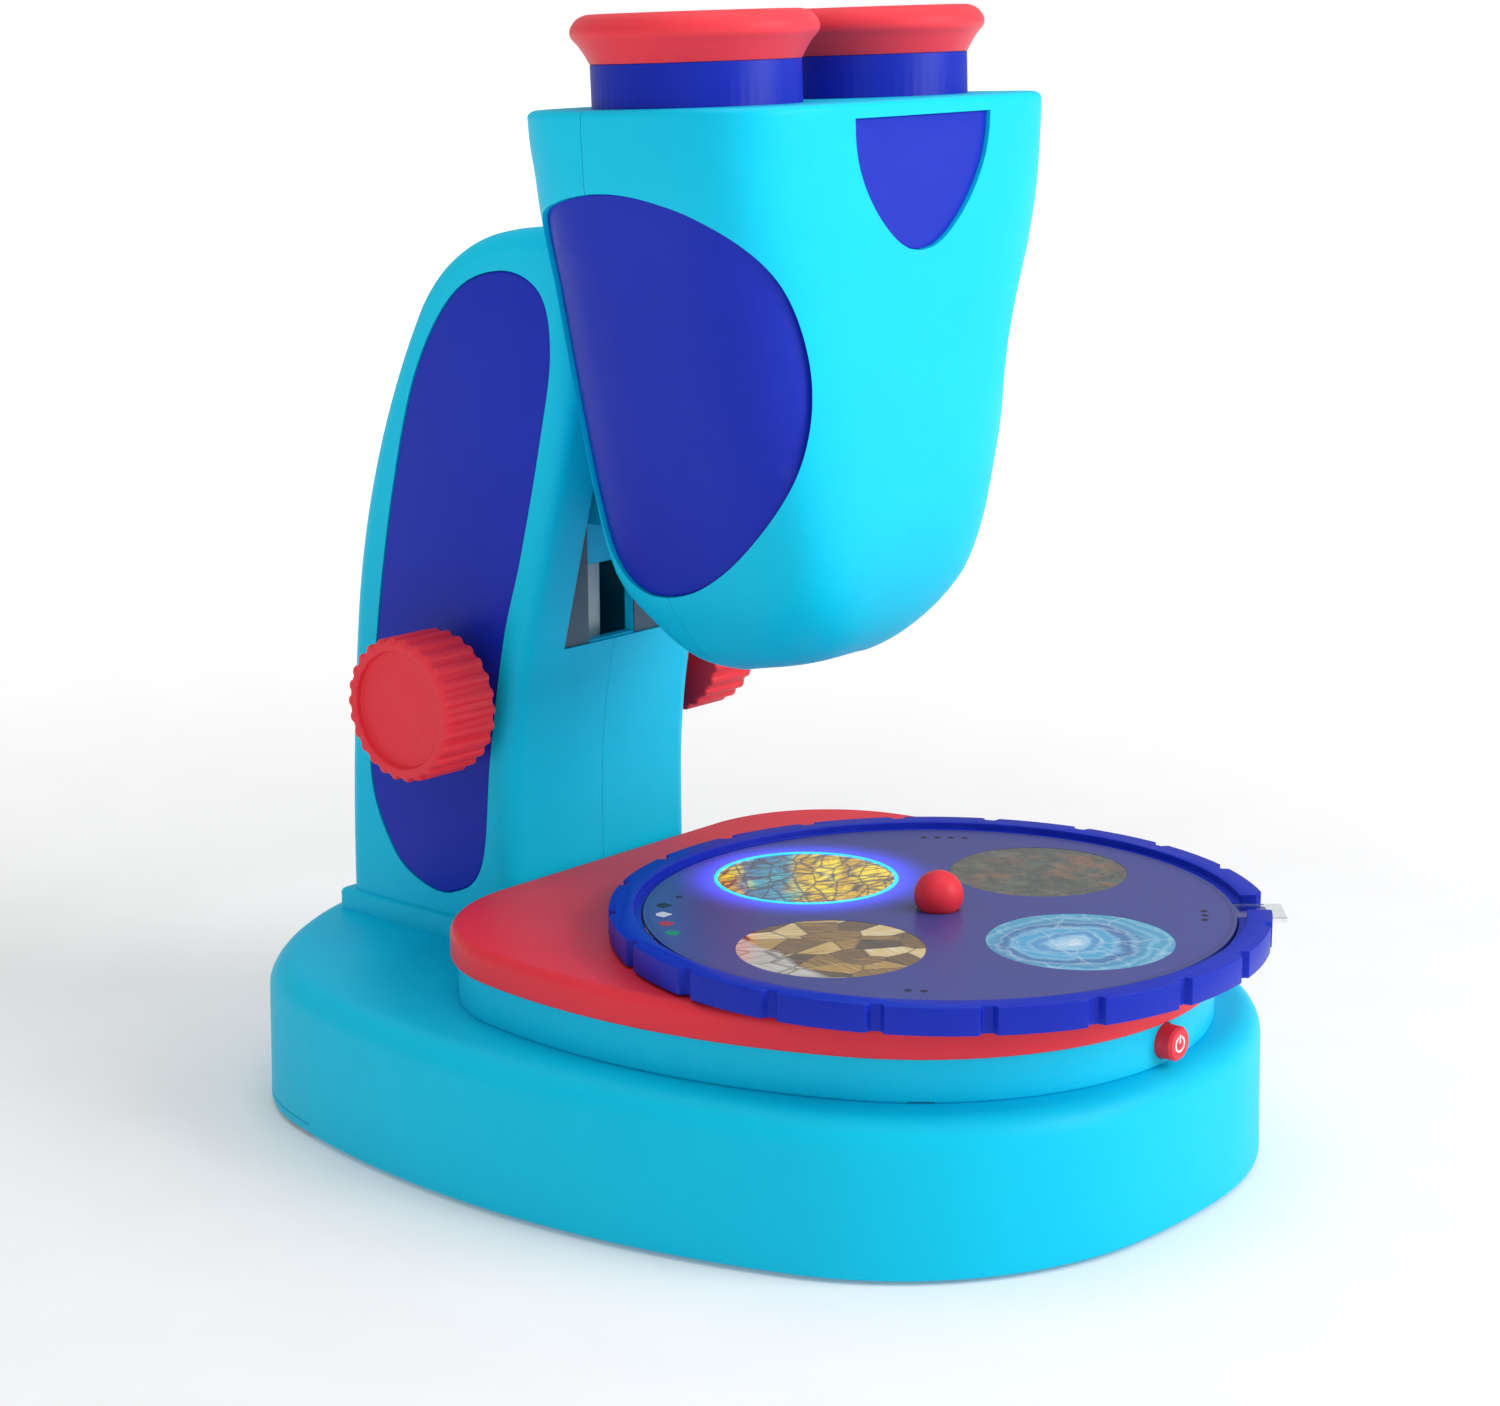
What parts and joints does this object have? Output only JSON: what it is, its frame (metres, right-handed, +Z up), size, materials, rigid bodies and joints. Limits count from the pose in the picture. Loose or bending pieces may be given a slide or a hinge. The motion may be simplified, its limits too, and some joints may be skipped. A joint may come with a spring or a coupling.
{
  "type": "toy microscope",
  "caption": "Child's stereo-look microscope with a lit base, a turning specimen tray, side focus knobs and two soft eyecups.",
  "frame": {"origin": "on the floor, under the centre of the footprint, in the left-right mirror plane", "axes": "+Z up, -Y towards the power button at the front, +X to the viewer's right"},
  "size_m": [0.175, 0.2353, 0.2418],
  "materials": {
    "cyan_shell": "satin moulded",
    "royal_plastic": "satin moulded",
    "coral_plastic": "satin moulded",
    "rubber_dark": "matte",
    "soft_coral": "soft, slightly rubbery",
    "screw_steel": "zinc plated",
    "contact_metal": "nickel plated",
    "black_plastic": "matte",
    "cell_sleeve": "glossy sleeve",
    "board_green": "solder mask",
    "lamp_white": "clear white",
    "ring_clear": "clear, lit",
    "white_mark": "glossy",
    "bush_white": "low friction",
    "clear_disc": "clear",
    "printed_card": "satin print",
    "crystal_specimen": "printed under clear plastic",
    "pyrite_specimen": "printed under clear plastic",
    "lava_specimen": "printed under clear plastic",
    "agate_specimen": "printed under clear plastic",
    "gear_white": "low friction",
    "port_teal": "satin moulded",
    "optic_clear": "clear",
    "mirror_face": "polished"
  },
  "bodies": {
    "stand": {"base_shell": "cyan_shell", "base_bottom": "cyan_shell", "rubber_feet": "rubber_dark", "base_screws": "screw_steel", "battery_holder": "black_plastic", "battery_left": "cell_sleeve", "battery_middle": "cell_sleeve", "battery_right": "cell_sleeve", "battery_springs": "contact_metal", "battery_strip": "contact_metal", "stage_housing": "cyan_shell", "stage_plate": "coral_plastic", "light_ring": "ring_clear", "stage_lamp": "lamp_white", "lamp_board": "board_green", "control_board": "board_green", "button_switch": "black_plastic", "arm_left": "cyan_shell", "arm_right": "cyan_shell", "arm_panel_left": "royal_plastic", "arm_panel_right": "royal_plastic", "arm_screws": "screw_steel"},
    "cover": {"rear_cover": "cyan_shell"},
    "button": {"power_button": "coral_plastic", "power_mark": "white_mark"},
    "tray": {"specimen_tray": "royal_plastic", "tray_bush": "bush_white", "disc_carrier": "clear_disc", "disc_card": "printed_card", "tray_knob": "coral_plastic", "specimen_crystal": "crystal_specimen", "specimen_pyrite": "pyrite_specimen", "specimen_lava": "lava_specimen", "specimen_agate": "agate_specimen"},
    "focus": {"focus_shaft": "screw_steel", "focus_pinion": "gear_white", "knob_left": "coral_plastic", "knob_right": "coral_plastic"},
    "head": {"focus_rack": "gear_white", "head_carriage": "cyan_shell", "head_front": "cyan_shell", "head_back": "cyan_shell", "head_panel_left": "royal_plastic", "head_panel_right": "royal_plastic", "front_shield": "royal_plastic", "head_screws": "screw_steel", "eyepiece_left": "royal_plastic", "eyepiece_right": "royal_plastic", "eyecup_left": "soft_coral", "eyecup_right": "soft_coral", "eye_lens_left": "optic_clear", "eye_lens_right": "optic_clear", "optics_frame": "black_plastic", "splitter_prism": "optic_clear", "mirror_left": "mirror_face", "mirror_right": "mirror_face", "objective_tube": "port_teal", "objective_lens": "optic_clear"}
  },
  "joints": [
    {"name": "head_lift", "type": "slide", "parent": "stand", "child": "head", "axis": [0, 0, 1], "range_m": [-0.012, 0.01]},
    {"name": "focus_turn", "type": "hinge", "parent": "stand", "child": "focus", "pos_m": [0, 0.0626, 0.0908], "axis": [1, 0, 0], "range_deg": [-140, 140]},
    {"name": "tray_turn", "type": "hinge", "parent": "stand", "child": "tray", "pos_m": [0, -0.0475, 0.053], "axis": [0, 0, 1], "continuous": true},
    {"name": "button_press", "type": "slide", "parent": "stand", "child": "button", "axis": [0, 1, 0], "range_m": [0, 0.001], "stiffness_N_per_m": 600},
    {"name": "cover_slide", "type": "slide", "parent": "stand", "child": "cover", "axis": [0, 1, 0], "range_m": [0, 0.03]}
  ],
  "couplings": [
    {"joint": "focus_turn", "follows": "head_lift", "rad_per_m": -200}
  ]
}
